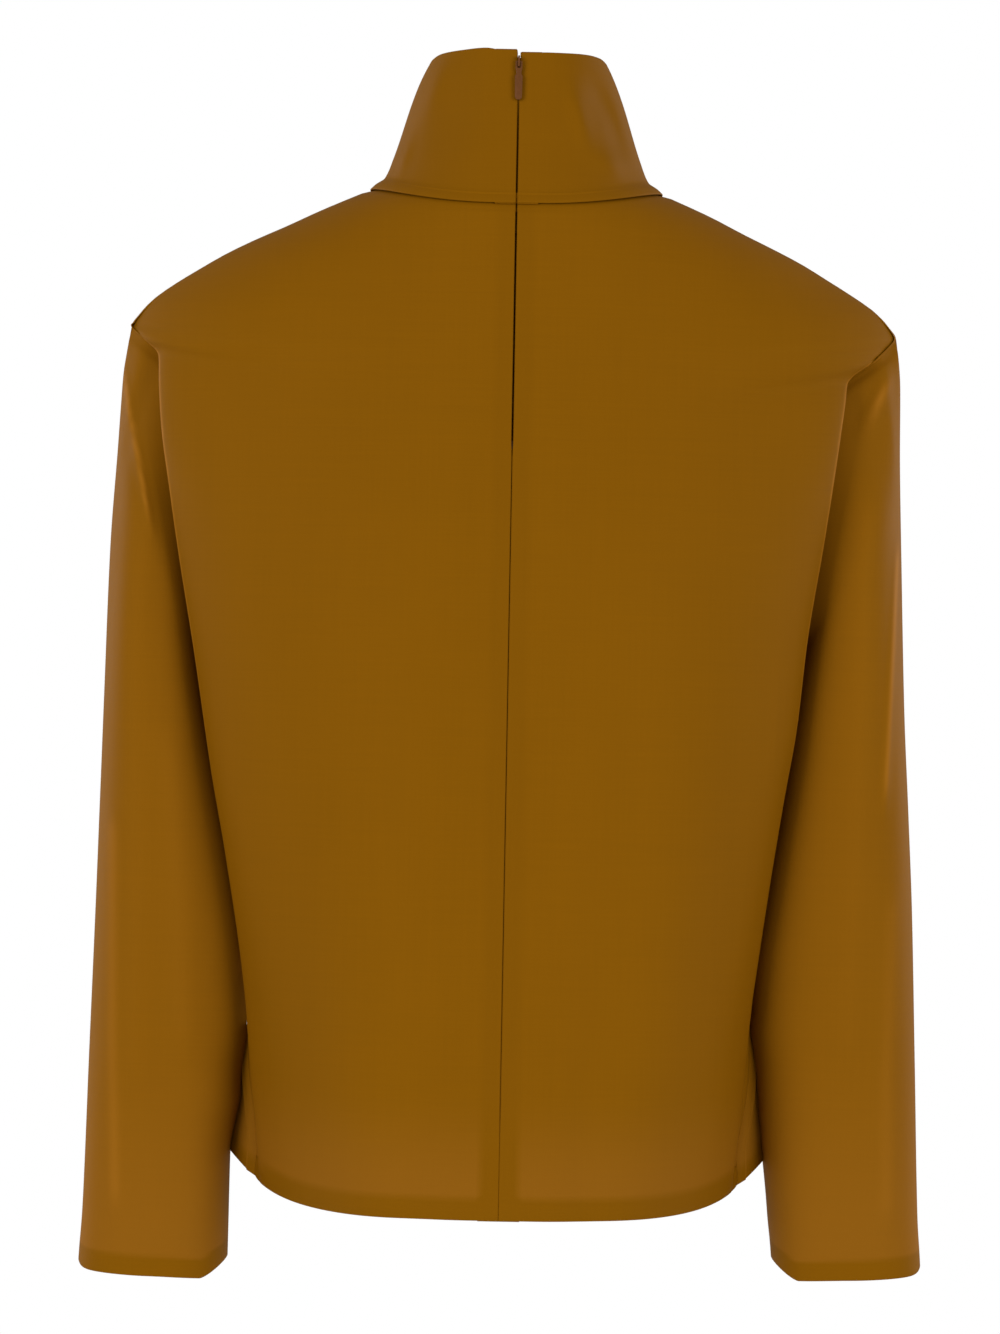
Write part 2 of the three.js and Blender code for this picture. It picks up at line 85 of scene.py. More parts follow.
class BlouseSizes(bpy.types.PropertyGroup):
    """Sizes that a maker would change."""

    cloth: length("Cloth", "Thickness of the cloth", 0.0005)
    fold: length("Fold", "Radius of a pressed fold", 0.00052)
    hem: length("Hem", "Depth of the hems", 0.012)
    allowance: length("Allowance", "Width of the seam allowances", 0.012)
    zip_gap: length("Zip Gap", "Half of the gap over the zip", 0.00054)
    seam_gap: length("Seam Gap", "Half of the gap at a seam", 0.00018)
    vent: length("Vent", "Height of the cuff vents", 0.04)


class BlouseColours(bpy.types.PropertyGroup):
    """Colours of the cloth and the trimmings."""

    cloth: tint("Cloth", "The shell cloth", (0.215, 0.082, 0.0012))
    metal: tint("Zip Metal", "Enamel of the slider and pull", (0.125, 0.04, 0.005))
    tape: tint("Zip Tape", "Tape and coil", (0.17, 0.065, 0.007))
    wadding: tint("Wadding", "Shoulder pads and stiffener", (0.6, 0.53, 0.42))
    label: tint("Label", "Blank care label", (0.8, 0.77, 0.69))


class BlouseStage(bpy.types.PropertyGroup):
    """Camera and light."""

    distance: length("Distance", "Camera to the blouse", 3.0)
    height: length("Height", "Camera height", -0.2926)
    aside: length("Aside", "Camera to one side", 0.0049)
    view_height: length("View Height", "Height that the camera takes in", 0.827)
    roll: amount("Roll", "Camera roll", math.radians(-1.04), "ANGLE")
    key: amount("Key Light", "Power of the key light", 50, "POWER")
    fill: amount("Fill Light", "Power of each rim light", 30, "POWER")
    sky: amount("Sky", "Strength of the light from all round", 0.36, "FACTOR")


def settings():
    return bpy.context.scene.blouse_sizes


def colours():
    return bpy.context.scene.blouse_colours


def link(thing):
    bpy.context.scene.collection.objects.link(thing)
    return thing


# --- Curves and surfaces ---


def lerp(a, b, t):
    return a + (b - a) * t


def smoothstep(x, low, high):
    t = np.clip((x - low) / (high - low), 0, 1)
    return t * t * (3 - 2 * t)


def curve(*stations):
    """A smooth curve through (position, value) stations, as a function of the position."""
    x, y = np.array(stations, float).T
    step = np.diff(y) / np.diff(x)
    before, after = np.concatenate([step[:1], step]), np.concatenate([step, step[-1:]])
    turning = before * after <= 0
    slope = np.where(turning, 0, 2 * before * after / np.where(turning, 1, before + after))

    def read(at):
        at = np.clip(at, x[0], x[-1])
        i = np.clip(np.searchsorted(x, at, side="right") - 1, 0, len(x) - 2)
        span = x[i + 1] - x[i]
        t = (at - x[i]) / span
        value = lerp(y[i], y[i + 1], t * t * (3 - 2 * t))
        return value + span * (t * (1 - t) ** 2 * slope[i] + t * t * (t - 1) * slope[i + 1])

    return read


def signed_power(values, power):
    return np.sign(values) * np.abs(values) ** power


def stretches(*ends_and_counts):
    """Values that run through several stretches: start, then (end, steps) for each stretch."""
    values = [np.array([ends_and_counts[0]], float)]
    for end, count in ends_and_counts[1:]:
        values.append(np.linspace(values[-1][-1], end, count + 1)[1:])
    return np.concatenate(values)


def sided(title, side):
    return f"{title}_{SIDE_NAME[side]}"


def box_mm(node):
    low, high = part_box(node)
    return np.array(low) / MM, np.array(high) / MM


# Heights are measured from the neckline. Drops are measured down from the neck's side.
RIM = box_mm("collar_outer")[1][2]
RIM_BACK = 56.0  # how far back the zip stands at the rim
LEAN_ANGLE = math.radians(11)  # of the zip
LEAN = math.tan(LEAN_ANGLE)
NECK_SIDE, NECK_BACK, NECK_FRONT = 3.0, -10.0, -22.0
NECK_HALF = 86.0
SHOULDER = box_mm("back_panel_left")[1][0]
TIP_DROP = 88.0
ARMHOLE_DROP = 278.0
SIDE_DROP = 594.0
HEM_BACK = box_mm("back_panel_left")[0][2]
HEM_FRONT = box_mm("front_panel")[0][2]
CUFF = box_mm("sleeve_left")[0][2]
CUFF_OUTER = box_mm("sleeve_left")[1][0]
FLAT = 14.0  # half of the flat strip down the middle
STRAIGHT_END = -205.0  # the back is straight down to here
ZIP_END = box_mm("zipper_bottom_stop")[0][2]


def zip_line(height):
    return RIM_BACK + LEAN * (RIM - height)


# Half of the body's width at each drop.
HALF = {
    LEFT: curve(
        (0, NECK_HALF), (15, 121), (25, 142), (34, 162), (43, 180), (53, 197), (62, 211.5),
        (71, 224), (80, 232.5), (88, SHOULDER), (97, 228.5), (104, 220.5), (108, 218.5),
        (125, 217.5), (149, 215.5), (192, 209), (229, 203), (291, 192), (366, 180),
        (409, 172), (474, 161.5), (511, 157), (530, 155), (560, 151.5), (SIDE_DROP, 147.5)),
    RIGHT: curve(
        (0, NECK_HALF), (15, 121), (25, 141), (34, 160), (43, 178), (53, 195), (62, 210),
        (71, 223.5), (80, 232.5), (88, SHOULDER), (95, 232), (104, 221), (114, 208), (118, 205.5),
        (130, 204), (178, 197.5), (217, 192), (276, 183), (330, 177.5), (375, 170.5),
        (420, 164), (474, 157), (511, 152.6), (560, 148.2), (SIDE_DROP, 144)),
}
# How much further out the back would reach without the fold at the armhole.
OVERHANG = {
    LEFT: curve(
        (0, 0), (86, 0), (97, 6), (104, 12.5), (108, 13.5), (125, 11.5), (149, 9), (192, 6),
        (291, 2), (366, 0), (SIDE_DROP, 0)),
    RIGHT: curve(
        (0, 0), (86, 0), (95, 3), (104, 13), (114, 24), (118, 25.5), (130, 24), (178, 17),
        (217, 12), (276, 6), (330, 2), (375, 0), (SIDE_DROP, 0)),
}
# How far back the body is widest, and the same without the fold at the armhole.
WIDEST = {
    LEFT: curve(
        (0, 0), (86, 0), (98, 16), (130, 30), (190, 38), (290, 40), (400, 34), (527, 20),
        (SIDE_DROP, 10)),
    RIGHT: curve(
        (0, 0), (88, 0), (108, 20), (135, 34), (190, 40), (290, 40), (400, 34), (527, 20),
        (SIDE_DROP, 10)),
}
EVEN = curve((0, 0), (40, 4), (88, 15), (130, 27), (190, 38), (290, 40), (SIDE_DROP, 10))
# How far the side lies inside the edge of the back, or outside it where negative.
TUCK = {
    LEFT: curve(
        (0, 0), (96, 0), (130, 7), (190, 10), (430, 12), (474, 7.5), (505, 1),
        (511, -1.5), (530, -7), (541, -10), (561, -14), (580, -20.5), (SIDE_DROP, -26)),
    RIGHT: curve(
        (0, 0), (96, 0), (130, 7), (190, 10), (430, 12), (474, 5), (511, -3.5), (535, -11),
        (561, -17), (SIDE_DROP, -27)),
}
# How square the rings are, then their depth behind and before, and the depth of the seams.
CORNERS = curve(
    (0, 1), (TIP_DROP, 1.2), (183, 0.97), (ARMHOLE_DROP, 0.86), (SIDE_DROP, 0.86))
BACK = curve(
    (-STRAIGHT_END, zip_line(STRAIGHT_END)), (255, 115), (350, 112), (450, 107),
    (-HEM_BACK, 102))
FRONT = curve((-NECK_FRONT, 64), (135, 104), (278, 118), (450, 112), (-HEM_FRONT, 106))
BACK_EDGE = curve(
    (0, 0), (TIP_DROP, 0), (98, 10), (130, 15), (190, 18), (250, 10), (ARMHOLE_DROP, 0),
    (SIDE_DROP, 0))
FRONT_EDGE = curve(
    (0, 0), (TIP_DROP, 0), (98, -22), (120, -44), (180, -62), (235, -50), (264, -22),
    (ARMHOLE_DROP, 0), (SIDE_DROP, 0))
TUCK_REACH = 35.0
SHADOW = 6.0  # how far the side is drawn in just behind the fold, low down
SHADOW_PLACE, SHADOW_WIDTH = 9.0, 6.5
RIPPLE = 1.4  # height of the soft ripples down the body
FOLD_CORNERS = 1.6  # how crisply the back folds round to the sides


def neck_height(out, facing):
    middle = np.where(facing > 0, NECK_BACK, NECK_FRONT)
    return lerp(middle, NECK_SIDE, out * out)


def ring_sizes(side, drop):
    share = drop / SIDE_DROP
    back_height = lerp(NECK_BACK, HEM_BACK, share)
    front_height = lerp(NECK_FRONT, HEM_FRONT, share)
    back = np.where(back_height > STRAIGHT_END, zip_line(back_height), BACK(-back_height))
    return back, FRONT(-front_height), WIDEST[side](drop), CORNERS(drop)


def body_points(side, drop, angle):
    """Points of the body at a drop below the neck point: angle 0 is the back, pi the front."""
    back, front, widest, corners = ring_sizes(side, drop)
    out = np.abs(np.sin(angle)) ** corners
    facing = np.cos(angle)
    crisp = lerp(corners, FOLD_CORNERS, smoothstep(drop, 20, 170))
    power = np.where(facing > 0, crisp, corners)
    inner = np.where(facing > 0, 1 - smoothstep(out, 0.6, 1), 0)
    inner = inner * (1 - smoothstep(drop, 190, 290))
    widest = lerp(widest, EVEN(drop), inner)
    reach = np.where(facing > 0, back - widest, front + widest) * np.abs(facing) ** power
    low = smoothstep(drop, 440, 520) * (1 - smoothstep(drop, 575, SIDE_DROP))
    behind = SHADOW * low * np.exp(-(((reach - SHADOW_PLACE) / SHADOW_WIDTH) ** 2))
    behind = np.where(facing < 0, behind, 0)
    tuck = np.where(facing < 0, TUCK[side](drop) * smoothstep(reach, 0, TUCK_REACH), 0)
    half = HALF[side](drop)
    over = OVERHANG[side](drop)
    x = FLAT + (half + over - tuck - FLAT) * out - over * smoothstep(out, 0.25, 1)
    y = widest + np.sign(facing) * reach
    share = np.clip(x / (half - np.minimum(TUCK[side](drop), 0)), 0, 1)
    x = x - behind * out
    middle = lerp(HEM_FRONT, HEM_BACK, smoothstep(facing, -0.3, 0))
    hem = lerp(middle, NECK_SIDE - SIDE_DROP, share ** 7)
    z = lerp(neck_height(out, facing), hem, drop / SIDE_DROP)
    ease = smoothstep(drop, 150, 480) * smoothstep(x, FLAT, 60)
    wave = np.sin(x * 0.052 + z * 0.006 + 0.8 * side) + 0.6 * np.sin(x * 0.091 - z * 0.011)
    y = y + RIPPLE * wave * ease * np.sign(facing) * np.abs(facing) ** 0.5
    return np.stack([side * x, y, z + 0 * x], axis=-1)


def edge_angle(side, drop, edge):
    """The angle at which the body's ring reaches the depth of a seam."""
    _, front, widest, corners = ring_sizes(side, drop)
    share = np.clip((widest - edge(drop)) / (front + widest), 0, 1)
    return np.arccos(-(share ** (1 / corners)))


# --- Cloth meshes ---


def unit(vectors):
    return vectors / np.maximum(np.linalg.norm(vectors, axis=-1, keepdims=True), 1e-9)


def inward(grid, centre):
    """Unit normals of a grid of points, turned towards a centre line of points."""
    normal = unit(np.cross(np.gradient(grid, axis=1), np.gradient(grid, axis=0)))
    facing = np.sum(normal * (centre - grid), axis=-1)
    return normal * np.sign(np.sum(facing))


def towards(values, edge):
    """Turns a grid so that its last row is the given edge."""
    if edge in ("left", "right"):
        values = values.swapaxes(0, 1)
    return values[::-1] if edge in ("top", "left") else values


def turned_back(values, edge):
    """Undoes what towards did."""
    values = values[::-1] if edge in ("top", "left") else values
    return values.swapaxes(0, 1) if edge in ("left", "right") else values


FOLD_STEPS, TAIL_STEPS = 4, 3
EXTRA = FOLD_STEPS + TAIL_STEPS  # rows or columns that a turned edge adds


def turned_in(grid, inside, edge, radius, tail):
    """The grid with one edge folded inwards round a radius and run back by a tail."""
    turned = towards(grid, edge)
    inside = towards(inside, edge)[-1]
    beyond = unit(turned[-1] - turned[-2])
    inside = unit(inside - beyond * np.sum(inside * beyond, axis=-1, keepdims=True))
    rows = list(turned)
    last = turned[-1]
    for angle in np.linspace(0, math.pi, FOLD_STEPS + 1)[1:]:
        rows.append(last + beyond * radius * math.sin(angle)
                    + inside * radius * (1 - math.cos(angle)))
    for share in np.linspace(0, 1, TAIL_STEPS + 1)[1:]:
        rows.append(last + inside * 2 * radius - beyond * tail * share)
    return turned_back(np.array(rows), edge)


def edge_distance(grid, edge):
    """How far each point of a grid lies from one of its edges, along the grid."""
    rows = towards(grid, edge)[::-1]
    steps = np.linalg.norm(np.diff(rows, axis=0), axis=-1)
    total = np.insert(np.cumsum(steps, axis=0), 0, 0, axis=0)
    return turned_back(total[::-1], edge)


def armhole_share(grid):
    """1 at the height of the armholes, falling to 0 above and below."""
    drop = -grid[..., 2]
    return smoothstep(drop, 68, 88) * (1 - smoothstep(drop, 262, 282))


TURNING = 7.0  # cloth turned in at an unpressed seam
SEAM_SINK, NECK_SINK = (1.4, 5), (1.8, 6)  # how deep a seam lies, and how far beside it
PINCH, PINCH_REACH = 6.0, 9.0
PINCH_START = (88.0, 106.0)  # the tips of the shoulders stay where they are
ARMHOLE_CORE = (150.0, -12.0, -190.0)


class Cloth:
    """A grid of cloth with folded edges, which becomes one closed thin mesh."""

    def __init__(self, name, grid, centre=None):
        self.name = name
        self.grid = grid
        self.centre = centre
        self.double = np.zeros(grid.shape[:2])
        self.glow = np.zeros(grid.shape[:2])
        self.shine = np.zeros(grid.shape[:2])
        self.rows = [0, grid.shape[0] - 1]
        self.columns = [0, grid.shape[1] - 1]

    def middle(self):
        if self.centre is not None:
            return self.centre(self.grid)
        return self.grid * np.array([0, 0, 1])

    def lit(self, edge, near, far):
        """Paints light into single cloth towards an open edge, as if light came through it."""
        distance = edge_distance(self.grid, edge)
        self.glow = np.maximum(self.glow, 1 - smoothstep(distance, near, far))
        return self

    def sink(self, edge, depth, reach):
        """Draws the cloth in beside a seam, but not round an armhole."""
        near = 1 - smoothstep(edge_distance(self.grid, edge), 0, reach)
        near = near * (1 - armhole_share(self.grid))
        self.grid = self.grid + self.insides() * (depth * near)[..., None]
        return self

    def pinch(self, edge, side):
        """Draws an armhole's seam towards the middle of the armhole, on both of its sides."""
        near = 1 - smoothstep(edge_distance(self.grid, edge), 0, PINCH_REACH)
        near = near * armhole_share(self.grid) * smoothstep(-self.grid[..., 2], *PINCH_START)
        core = np.array([side * ARMHOLE_CORE[0], ARMHOLE_CORE[1], ARMHOLE_CORE[2]])
        self.grid = self.grid + unit(core - self.grid) * (PINCH * near)[..., None]
        return self

    def glint(self, amount):
        """Paints a highlight into the cloth where a fold lets the light through."""
        self.shine = np.maximum(self.shine, amount)
        return self

    def insides(self):
        """Normals towards the inside, those of the folded edges taken from the cloth beside."""
        normals = inward(self.grid, self.middle())
        rows = np.clip(np.arange(self.grid.shape[0]), *self.rows)
        columns = np.clip(np.arange(self.grid.shape[1]), *self.columns)
        return normals[rows][:, columns]

    def fold(self, edge, tail, hem=False):
        """Turns an edge in by a tail. A hem's tail makes the cloth above it double."""
        if hem:
            covered = 1 - smoothstep(edge_distance(self.grid, edge), tail - 0.6, tail + 0.6)
            self.double = np.maximum(self.double, covered)
        self.grid = turned_in(
            self.grid, self.insides(), edge, settings().fold / MM, tail)
        after = edge in ("bottom", "right")
        axis = 0 if edge in ("top", "bottom") else 1
        if not after:
            kept = self.columns if axis else self.rows
            kept[0] += EXTRA
            kept[1] += EXTRA
        extra = [(0, 0), (0, 0)]
        extra[axis] = (0, EXTRA) if after else (EXTRA, 0)
        self.double = np.pad(self.double, extra, constant_values=1 if hem else 0)
        self.glow = np.pad(self.glow, extra, mode="edge")
        self.shine = np.pad(self.shine, extra)
        return self

    def build(self, look, body=GARMENT, thickness=None):
        thickness = (thickness or settings().cloth) / MM
        inner = self.grid + inward(self.grid, self.middle()) * thickness
        rows, columns = self.grid.shape[:2]
        count = rows * columns
        points = np.concatenate([self.grid.reshape(-1, 3), inner.reshape(-1, 3)]) * MM
        index = np.arange(count).reshape(rows, columns)
        a, b = index[:-1, :-1].ravel(), index[:-1, 1:].ravel()
        c, d = index[1:, 1:].ravel(), index[1:, :-1].ravel()
        faces = [np.stack([a, b, c, d], 1), np.stack([d, c, b, a], 1) + count]
        rim = np.concatenate([index[0, :], index[1:, -1], index[-1, -2::-1], index[-2:0:-1, 0]])
        after = np.roll(rim, -1)
        faces.append(np.stack([after, rim, rim + count, after + count], 1))
        faces = np.concatenate(faces)
        piece = new_mesh(self.name, points, faces.tolist())
        for title, values in (("double", self.double), ("glow", self.glow),
                              ("shine", self.shine)):
            attribute = piece.data.attributes.new(title, "FLOAT", "POINT")
            attribute.data.foreach_set("value", np.tile(values.ravel(), 2).astype(np.float32))
        finish_piece(piece, look, body)
        return piece


def new_mesh(name, points, faces):
    mesh = bpy.data.meshes.new(name)
    mesh.from_pydata(np.asarray(points).tolist(), [], faces)
    mesh.validate()
    face_out(mesh)
    return link(bpy.data.objects.new(name, mesh))


def face_out(mesh):
    """Turns the faces of a closed mesh to point out of it."""
    points = np.empty(len(mesh.vertices) * 3)
    mesh.vertices.foreach_get("co", points)
    points = points.reshape(-1, 3)
    mesh.calc_loop_triangles()
    corners = np.empty(len(mesh.loop_triangles) * 3, int)
    mesh.loop_triangles.foreach_get("vertices", corners)
    a, b, c = points[corners.reshape(-1, 3)].transpose(1, 0, 2)
    if np.sum(a * np.cross(b, c)) < 0:
        mesh.flip_normals()


def finish_piece(piece, look, body, sharp=60):
    piece.data.materials.clear()
    piece.data.materials.append(look)
    piece.data.shade_smooth()
    piece.data.set_sharp_from_angle(angle=math.radians(sharp))
    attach(piece, body)


def modify(piece, kind, **choices):
    modifier = piece.modifiers.new(kind.lower(), kind)
    for name, choice in choices.items():
        setattr(modifier, name, choice)


def apply_modifiers(piece):
    graph = bpy.context.evaluated_depsgraph_get()
    mesh = bpy.data.meshes.new_from_object(piece.evaluated_get(graph))
    piece.modifiers.clear()
    piece.data = mesh


def girth(half_width, half_depth):
    """The girth of an oval, from which the flat width of a piece of cloth is drafted."""
    return 2 * math.pi * np.sqrt((half_width ** 2 + half_depth ** 2) / 2)


def cut_area(heights, widths):
    """Square metres of a cut with these widths at these heights, in mm."""
    return float(np.sum(np.diff(heights) * (widths[1:] + widths[:-1]) / 2)) * MM * MM


def body_cut(side, facing):
    drop = np.linspace(0, SIDE_DROP, 100)
    back, front, widest, _ = ring_sizes(side, drop)
    depth = back - widest if facing > 0 else front + widest
    return cut_area(drop, girth(HALF[side](drop), depth) / 4)


def sleeve_cut(side):
    height = np.linspace(-(CAP_TOP + CAP_FOOT) / 2, -CUFF, 100)
    inner = SLEEVE_INNER[side](np.maximum(height, -CAP_FOOT))
    half = (SLEEVE_OUTER[side](height) - inner) / 2
    return cut_area(height, girth(half, SLEEVE_DEPTH(height)))


def collar_cut(low, high):
    height = np.linspace(low, high, 40)
    front = lerp(*COLLAR_FRONT, (height - NECK_BACK) / (RIM - NECK_BACK))
    depth = (zip_line(height) + front) / 2
    return cut_area(height, girth(COLLAR_HALF(height - NECK_BACK), depth))


# --- Materials ---


class Value:
    """A shader socket that can be used in sums."""

    def __init__(self, shader, socket):
        self.shader = shader
        self.socket = socket

    def maths(self, operation, *others):
        node = self.shader.tree.nodes.new("ShaderNodeMath")
        node.operation = operation
        for slot, value in zip(node.inputs, others):
            self.shader.feed(slot, value)
        return Value(self.shader, node.outputs[0])

    def __add__(self, other):
        return self.maths("ADD", self, other)

    def __radd__(self, other):
        return self.maths("ADD", other, self)

    def __sub__(self, other):
        return self.maths("SUBTRACT", self, other)

    def __rsub__(self, other):
        return self.maths("SUBTRACT", other, self)

    def __mul__(self, other):
        return self.maths("MULTIPLY", self, other)

    def __rmul__(self, other):
        return self.maths("MULTIPLY", other, self)


class Shader:
    """A material that is put together from nodes."""

    def __init__(self, name, roughness, metallic=0.0, sheen=0.0):
        self.material = bpy.data.materials.new(name)
        self.material.use_nodes = True
        self.tree = self.material.node_tree
        self.surface = self.tree.nodes["Principled BSDF"]
        self.surface.inputs["Roughness"].default_value = roughness
        self.surface.inputs["Metallic"].default_value = metallic
        self.surface.inputs["Sheen Weight"].default_value = sheen
        self.surface.inputs["Sheen Roughness"].default_value = 0.45

    def feed(self, slot, value):
        if isinstance(value, Value):
            self.tree.links.new(value.socket, slot)
        else:
            slot.default_value = value

    def node(self, kind, choices=None, output=0, **inputs):
        node = self.tree.nodes.new("ShaderNode" + kind)
        for name, choice in (choices or {}).items():
            setattr(node, name, choice)
        for name, value in inputs.items():
            self.feed(node.inputs[name.replace("_", " ")], value)
        return Value(self, node.outputs[output])

    def place(self, x=1.0, y=1.0, z=1.0):
        """The object's own coordinates, scaled."""
        coordinates = self.node("TexCoord", output="Object")
        return self.node(
            "Mapping", {"vector_type": "POINT"}, Vector=coordinates, Scale=(x, y, z))

    def noise(self, scale, detail=2.0, roughness=0.5, stretch=(1.0, 1.0, 1.0)):
        return self.node("TexNoise", output="Fac", Vector=self.place(*stretch), Scale=scale,
                         Detail=detail, Roughness=roughness)

    def bands(self, direction, scale):
        return self.node(
            "TexWave", {"wave_type": "BANDS", "bands_direction": direction, "wave_profile": "SIN"},
            output="Fac", Vector=self.place(), Scale=scale, Distortion=0.6, Detail=1.0,
            Detail_Scale=2.0)

    def measure(self, name):
        """A value that the mesh carries."""
        return self.node("Attribute", {"attribute_name": name}, output="Fac")

    def mixed(self, factor, first, second):
        node = self.tree.nodes.new("ShaderNodeMix")
        node.data_type = "RGBA"
        self.feed(node.inputs[0], factor)
        self.feed(node.inputs[6], first)
        self.feed(node.inputs[7], second)
        return Value(self, node.outputs[2])

    def finish(self, colour=None, roughness=None, bump=None, depth=0.1 * MM, strength=0.5):
        if colour is not None:
            self.feed(self.surface.inputs["Base Color"], colour)
        if roughness is not None:
            self.feed(self.surface.inputs["Roughness"], roughness)
        if bump is not None:
            normal = self.node("Bump", Height=bump, Distance=depth, Strength=strength)
            self.feed(self.surface.inputs["Normal"], normal)
        return self.material


def shade(colour, factor):
    return tuple(min(1.0, c * factor) for c in colour[:3]) + (1.0,)


def sunlit(colour, factor):
    """Cloth with light coming through it, which is lighter and a little less yellow."""
    r, g, b = colour[:3]
    return (r * factor, g * factor, b + 0.006 * factor, 1.0)


def weave(shader, across, up):
    """Height of crossing threads."""
    return shader.bands("X", across) * 0.45 + shader.bands("Z", up) * 0.55


def shell_cloth():
    colour = colours().cloth
    shader = Shader("shell_cloth", roughness=0.62)
    shader.surface.inputs["Specular IOR Level"].default_value = 0.05
    shader.surface.inputs["Specular Tint"].default_value = (1.0, 0.72, 0.35, 1.0)
    slub = shader.noise(1.0, 3.0, 0.6, (18, 18, 1100))
    streak = shader.noise(1.0, stretch=(700, 60, 14))
    cloud = shader.noise(1.0, 3.0, stretch=(14, 14, 3))
    double = shader.measure("double")
    glow = shader.measure("glow")
    shine = shader.measure("shine")
    single = 1 - double
    tone = (slub - 0.5) * 0.35 + (streak - 0.5) * 0.18 + (cloud - 0.5) * 0.4 + 0.5
    base = shader.mixed(tone, shade(colour, 0.86), shade(colour, 1.14))
    # painted light: single cloth near open edges is drawn lighter, as if light came through it
    lit = shader.mixed(glow * single * 0.5, base, sunlit(colour, 1.3))
    # painted highlight: folds and creases are drawn lighter, as if light came through them
    fold_highlight = shader.mixed(shine * 0.6, lit, sunlit(colour, 1.75))
    # painted shade: double cloth lets less light through, so it is drawn darker
    double_shaded = shader.mixed(double * 0.3, fold_highlight, shade(colour, 0.84))
    threads = weave(shader, 380.0, 410.0) + (slub - 0.5) * 0.8
    rough = 0.58 + slub * 0.1
    return shader.finish(double_shaded, rough, threads, depth=0.06 * MM, strength=0.35)


def woven(name, colour, across, up, roughness=0.75):
    shader = Shader(name, roughness=roughness, sheen=0.1)
    fleck = shader.noise(900.0, roughness=0.6)
    threads = weave(shader, across, up)
    tone = fleck * 0.4 + threads * 0.6
    base = shader.mixed(tone, shade(colour, 0.8), shade(colour, 1.12))
    return shader.finish(base, None, threads, depth=0.08 * MM, strength=0.6)


def wadding_look():
    colour = colours().wadding
    shader = Shader("wadding_look", roughness=0.95, sheen=0.3)
    tuft = shader.noise(260.0, 6.0, 0.7)
    lump = shader.noise(60.0)
    tone = tuft * 0.6 + lump * 0.4
    base = shader.mixed(tone, shade(colour, 0.82), shade(colour, 1.15))
    return shader.finish(base, None, tone, depth=0.5 * MM, strength=0.7)


def enamel():
    colour = colours().metal
    shader = Shader("zip_enamel", roughness=0.34, metallic=0.1)
    shader.surface.inputs["Specular IOR Level"].default_value = 0.3
    shader.surface.inputs["Coat Weight"].default_value = 0.1
    shader.surface.inputs["Coat Roughness"].default_value = 0.2
    grain = shader.noise(1500.0, 3.0, 0.6)
    wear = shader.noise(420.0, 4.0, 0.7)
    base = shader.mixed(wear, shade(colour, 0.8), shade(colour, 1.3))
    rough = 0.28 + wear * 0.16
    return shader.finish(base, rough, grain, depth=0.02 * MM, strength=0.3)


def nylon():
    colour = colours().tape
    shader = Shader("zip_nylon", roughness=0.4)
    grain = shader.noise(1100.0)
    base = shader.mixed(grain, shade(colour, 0.85), shade(colour, 1.15))
    return shader.finish(base, 0.35 + grain * 0.15, grain, depth=0.02 * MM, strength=0.2)


LOOKS = {}


def look(name, make):
    """One material of each kind, made when it is first used."""
    if name not in LOOKS:
        LOOKS[name] = make()
    return LOOKS[name]


def cloth_look():
    return look("shell", shell_cloth)


# --- Operators, one for each group of pieces ---


class Maker(bpy.types.Operator):
    """What the operators share: they make their pieces or raise an error."""

    bl_options = {"REGISTER", "UNDO"}

    def execute(self, context):
        self.make()
        return {"FINISHED"}


def body_drops():
    return stretches(0.0, (70, 16), (84, 10), (120, 34), (280, 40), (SIDE_DROP, 64))


RIM_V = 0.9


def seam_gap(height):
    """Half of the gap down the centre back: wider over the zip, and a small V at the rim."""
    sizes = settings()
    wide = smoothstep(height, ZIP_END - 4, ZIP_END + 6)
    seam = sizes.seam_gap * smoothstep(height, HEM_FRONT + 32, HEM_FRONT + 55)
    gap = lerp(seam, sizes.zip_gap, wide) / MM
    return gap + RIM_V * smoothstep(height, RIM - 7, RIM)


def back_panel_grid(side):
    drop = body_drops()[:, None]
    start = body_points(side, drop, np.zeros((1, 1)))
    gap = seam_gap(start[..., 2:3]) + settings().fold / MM
    share = np.array([0, 0.03, 0.07, 0.13, 0.3, 0.6])[None, :, None]
    flat = np.repeat(start, 6, axis=1)
    flat[..., 0:1] = side * lerp(gap, FLAT, share)
    end = edge_angle(side, drop, BACK_EDGE)
    across = stretches(0.0, (0.8, 40), (1.0, 24))[None, :]
    return np.concatenate([flat, body_points(side, drop, end * across)], axis=1)


def front_panel_grid():
    drop = body_drops()[:, None]
    halves = []
    for side in (LEFT, RIGHT):
        start = edge_angle(side, drop, FRONT_EDGE)
        across = stretches(0.0, (0.25, 24), (1.0, 46))[None, :]
        halves.append(body_points(side, drop, lerp(start, math.pi, across)))
    return np.concatenate([halves[0], halves[1][:, ::-1]], axis=1)


EDGE_LINE, EDGE_LINE_INSIDE = 1.3, 1.2  # width of the lit fold, and how far in it lies


def fold_line(grid, side):
    """How near each point of a back panel lies to the fold down its side, for the painted highlight
    along it.
    """
    place = np.argmax(side * grid[..., 0], axis=1)[:, None]
    steps = edge_distance(grid, "left")
    away = np.abs(steps - np.take_along_axis(steps, place, axis=1) + EDGE_LINE_INSIDE)
    drop = -grid[..., 2]
    long = smoothstep(drop, TIP_DROP, TIP_DROP + 12) * (1 - smoothstep(drop, 230, 420))
    return np.exp(-((away / EDGE_LINE) ** 2)) * long


